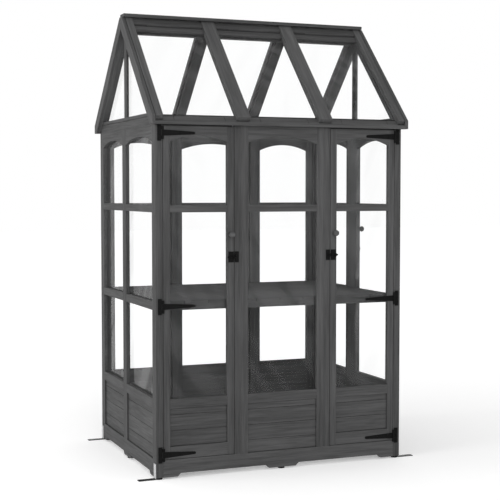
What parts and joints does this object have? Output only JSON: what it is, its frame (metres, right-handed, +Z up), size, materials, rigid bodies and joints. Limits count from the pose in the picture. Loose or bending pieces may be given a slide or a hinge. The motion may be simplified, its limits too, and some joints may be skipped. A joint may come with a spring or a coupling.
{
  "type": "greenhouse",
  "caption": "Wooden greenhouse with clear panes in painted frames, a gable roof, a shelf inside, hinged doors in the front and in one side, and ground brackets.",
  "frame": {"origin": "on the ground, midway between the four ground bracket holes, under the middle of the greenhouse", "axes": "+X to the right along the front, +Y from the front to the rear, +Z up"},
  "size_m": [1.356, 1.002, 2.082],
  "materials": {
    "painted_wood": "dark grey paint over visible grain",
    "clear_sheet": "clear glazing sheet",
    "black_steel": "satin black",
    "galvanised": "zinc plated",
    "black_plastic": "matte"
  },
  "bodies": {
    "frame": {"corner_posts": "painted_wood", "inner_posts": "painted_wood", "side_mullions": "painted_wood", "skirt_boards": "painted_wood", "foot_blocks": "painted_wood", "centre_frame": "painted_wood", "centre_boards": "painted_wood", "rear_frame": "painted_wood", "rear_boards": "painted_wood", "left_frame": "painted_wood", "left_boards": "painted_wood", "right_frame": "painted_wood", "right_boards": "painted_wood", "shelf_boards": "painted_wood", "shelf_rails": "painted_wood", "door_stops": "painted_wood", "eave_rails": "painted_wood", "ridge_beam": "painted_wood", "inner_rafters": "painted_wood", "end_rafters": "painted_wood", "barge_boards": "painted_wood", "gable_boards": "painted_wood", "king_posts": "painted_wood", "roof_battens": "painted_wood", "end_battens": "painted_wood", "ridge_boards": "painted_wood", "pane_strips": "painted_wood", "ridge_cap": "painted_wood", "centre_panes": "clear_sheet", "rear_panes": "clear_sheet", "left_panes": "clear_sheet", "right_panes": "clear_sheet", "gable_panes": "clear_sheet", "roof_panes": "clear_sheet", "hinge_plates": "black_steel", "bolt_keepers": "black_steel", "ground_brackets": "galvanised", "hinge_pins": "galvanised", "foot_glides": "black_plastic"},
    "left_door": {"left_door_frame": "painted_wood", "left_door_boards": "painted_wood", "left_door_pane": "clear_sheet", "left_door_straps": "black_steel", "left_door_knob": "painted_wood", "left_door_bolt_case": "black_steel"},
    "right_door": {"right_door_frame": "painted_wood", "right_door_boards": "painted_wood", "right_door_pane": "clear_sheet", "right_door_straps": "black_steel", "right_door_knob": "painted_wood", "right_door_bolt_case": "black_steel"},
    "side_door": {"side_door_frame": "painted_wood", "side_door_boards": "painted_wood", "side_door_pane": "clear_sheet", "side_door_straps": "black_steel", "side_door_knob": "painted_wood", "side_door_bolt_case": "black_steel"},
    "left_door_bolt": {"left_door_bolt": "black_steel"},
    "right_door_bolt": {"right_door_bolt": "black_steel"},
    "side_door_bolt": {"side_door_bolt": "black_steel"}
  },
  "joints": [
    {"name": "left_door_hinge", "type": "hinge", "parent": "frame", "child": "left_door", "pos_m": [-0.566, -0.472, 0.8], "axis": [0, 0, -1], "range_deg": [0, 110]},
    {"name": "right_door_hinge", "type": "hinge", "parent": "frame", "child": "right_door", "pos_m": [0.566, -0.472, 0.8], "axis": [0, 0, 1], "range_deg": [0, 110]},
    {"name": "side_door_hinge", "type": "hinge", "parent": "frame", "child": "side_door", "pos_m": [0.605, -0.433, 0.8], "axis": [0, 0, -1], "range_deg": [0, 110]},
    {"name": "left_door_bolt_slide", "type": "slide", "parent": "left_door", "child": "left_door_bolt", "axis": [1, 0, 0], "range_m": [0, 0.009]},
    {"name": "right_door_bolt_slide", "type": "slide", "parent": "right_door", "child": "right_door_bolt", "axis": [-1, 0, 0], "range_m": [0, 0.009]},
    {"name": "side_door_bolt_slide", "type": "slide", "parent": "side_door", "child": "side_door_bolt", "axis": [0, 1, 0], "range_m": [0, 0.009]}
  ]
}
